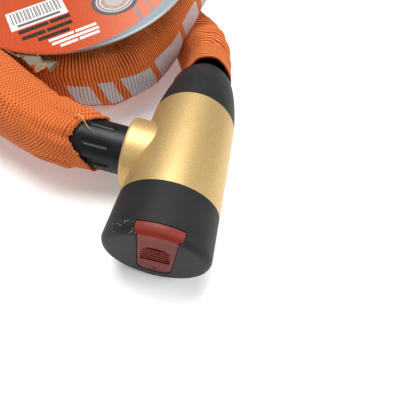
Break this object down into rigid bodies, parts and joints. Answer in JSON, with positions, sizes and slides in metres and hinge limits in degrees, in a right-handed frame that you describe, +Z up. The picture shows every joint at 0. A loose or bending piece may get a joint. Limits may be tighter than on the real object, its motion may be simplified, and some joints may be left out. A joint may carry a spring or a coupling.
{
  "type": "armoured cable lock",
  "caption": "Cylindrical lock head with side collar and sleeved armoured cable coiled in two turns; cable end, key plug, bolt and dust cover move.",
  "frame": {"origin": "on the surface the lock lies on, below the middle of the lock head's box (cable, card and keys left out)", "axes": "+Y along the head's axis from the key face to the rear cap, +Z up, collar and cable end towards -X"},
  "size_m": [0.2302, 0.2947, 0.0729],
  "materials": {
    "gold_paint": "satin metallic gold paint",
    "core_steel": "machined",
    "black_cap": "fine grained moulded plastic",
    "dark_steel": "blackened",
    "red_cover": "moulded plastic",
    "bright_steel": "ground",
    "spring_steel": "drawn wire",
    "brass_parts": "turned",
    "black_ferrule": "smooth moulded plastic",
    "seal_rubber": "smooth",
    "cable_wire": "stranded wire",
    "armour_steel": "case hardened",
    "jacket_plastic": "extruded",
    "orange_weave": "woven nylon",
    "printed_card": "laminated card",
    "key_nickel": "nickel plated",
    "key_plastic": "moulded"
  },
  "bodies": {
    "lock_head": {"body_shell": "gold_paint", "lock_core": "core_steel", "key_end_cap": "black_cap", "rear_cap": "black_cap", "cap_screws": "dark_steel", "cover_detent_ball": "bright_steel", "cover_detent_spring": "spring_steel", "cylinder_housing": "brass_parts", "bolt_spring": "spring_steel", "bolt_cover_plate": "core_steel", "collar_bush": "black_ferrule", "detent_ball": "bright_steel", "detent_spring": "spring_steel", "detent_screw": "dark_steel", "fixed_end_crimp": "bright_steel", "fixed_end_cross_pin": "dark_steel", "steel_cable": "cable_wire", "armour_shells": "armour_steel", "cable_jacket": "jacket_plastic", "fabric_sleeve": "orange_weave", "label_card": "printed_card", "key_blades": "key_nickel", "key_bows": "key_plastic"},
    "dust_cover": {"dust_cover": "red_cover"},
    "plug": {"cylinder_plug": "brass_parts", "lock_discs": "brass_parts", "sidebar": "bright_steel", "guard_disc": "dark_steel", "plug_clip": "spring_steel", "drive_cam": "bright_steel"},
    "bolt": {"locking_bolt": "core_steel"},
    "cable_end": {"cable_end_pin": "bright_steel", "cable_end_ferrule": "black_ferrule", "cable_end_crimp": "bright_steel", "end_seal_ring": "seal_rubber"}
  },
  "joints": [
    {"name": "dust_cover_slide", "type": "slide", "parent": "lock_head", "child": "dust_cover", "axis": [0, 0, 1], "range_m": [0, 0.02]},
    {"name": "key_turn", "type": "hinge", "parent": "lock_head", "child": "plug", "pos_m": [0.00215, -0.06125, 0.023], "axis": [0, 1, 0], "range_deg": [0, 90]},
    {"name": "bolt_slide", "type": "slide", "parent": "lock_head", "child": "bolt", "axis": [0, 0, -1], "range_m": [0, 0.004]},
    {"name": "cable_pull", "type": "slide", "parent": "lock_head", "child": "cable_end", "axis": [-1, 0, 0], "range_m": [0, 0.038], "deforming": ["steel_cable", "armour_shells", "cable_jacket", "fabric_sleeve"]}
  ],
  "couplings": [
    {"joint": "bolt_slide", "follows": "key_turn", "m_per_rad": 0.002546}
  ]
}
